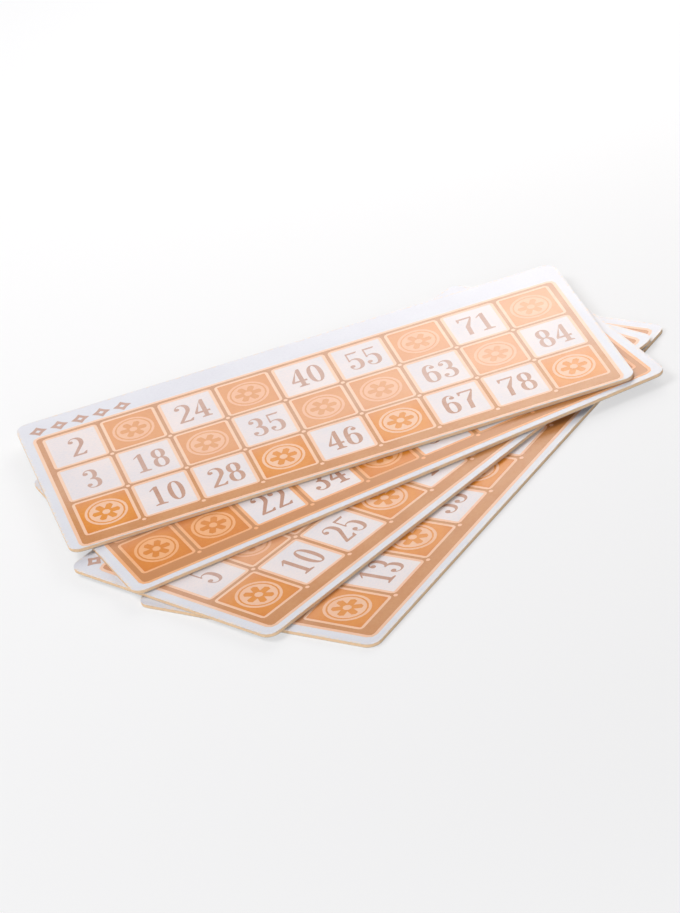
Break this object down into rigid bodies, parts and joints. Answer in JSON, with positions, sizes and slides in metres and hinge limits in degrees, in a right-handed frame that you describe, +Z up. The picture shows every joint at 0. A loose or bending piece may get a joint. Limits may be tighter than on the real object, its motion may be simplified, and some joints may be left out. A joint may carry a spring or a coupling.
{
  "type": "bingo card fan",
  "caption": "Flat fan of loose rectangular number-grid bingo cards, each a laminated board with paper faces and printed cells, turning on each other to square up into a pack.",
  "frame": {"origin": "middle of the bottom card's underside, on the surface that the fan lies on", "axes": "+X along the top card's long side, in the reading direction of its numbers; +Y towards the top card's heading; +Z up, out of the printed faces"},
  "size_m": [0.1678, 0.1538, 0.0042],
  "materials": {
    "face_paper": "smooth coated white paper with a soft sheen",
    "back_paper": "plain uncoated off-white paper",
    "board": "pale cream pulp board with a fibrous cut edge",
    "line_ink": "mid-orange offset ink, half-gloss",
    "field_ink": "solid orange offset ink, half-gloss",
    "tint_ink": "light peach tint of the orange ink",
    "number_ink": "burnt-orange ink"
  },
  "bodies": {
    "bottom_card": {"card_4_back_paper": "back_paper", "card_4_core_board": "board", "card_4_face_paper": "face_paper", "card_4_grid_print": "line_ink", "card_4_field_print": "field_ink", "card_4_tint_print": "tint_ink", "card_4_number_print": "number_ink", "card_4_heading_print": "number_ink"},
    "third_card": {"card_3_back_paper": "back_paper", "card_3_core_board": "board", "card_3_face_paper": "face_paper", "card_3_grid_print": "line_ink", "card_3_field_print": "field_ink", "card_3_tint_print": "tint_ink", "card_3_number_print": "number_ink", "card_3_heading_print": "number_ink"},
    "second_card": {"card_2_back_paper": "back_paper", "card_2_core_board": "board", "card_2_face_paper": "face_paper", "card_2_grid_print": "line_ink", "card_2_field_print": "field_ink", "card_2_tint_print": "tint_ink", "card_2_number_print": "number_ink", "card_2_heading_print": "number_ink"},
    "top_card": {"card_1_back_paper": "back_paper", "card_1_core_board": "board", "card_1_face_paper": "face_paper", "card_1_grid_print": "line_ink", "card_1_field_print": "field_ink", "card_1_tint_print": "tint_ink", "card_1_number_print": "number_ink", "card_1_heading_print": "number_ink"}
  },
  "joints": [
    {"name": "third_card_turn", "type": "hinge", "parent": "bottom_card", "child": "third_card", "pos_m": [0.04656, 0.05066, 0.00106], "axis": [0, 0, 1], "range_deg": [-11.7, 10.3]},
    {"name": "second_card_turn", "type": "hinge", "parent": "third_card", "child": "second_card", "pos_m": [0.02258, 0.0197, 0.00212], "axis": [0, 0, 1], "range_deg": [-17.3, 22.7]},
    {"name": "top_card_turn", "type": "hinge", "parent": "second_card", "child": "top_card", "pos_m": [0.06747, 0.04732, 0.00318], "axis": [0, 0, 1], "range_deg": [-12, 10]}
  ]
}
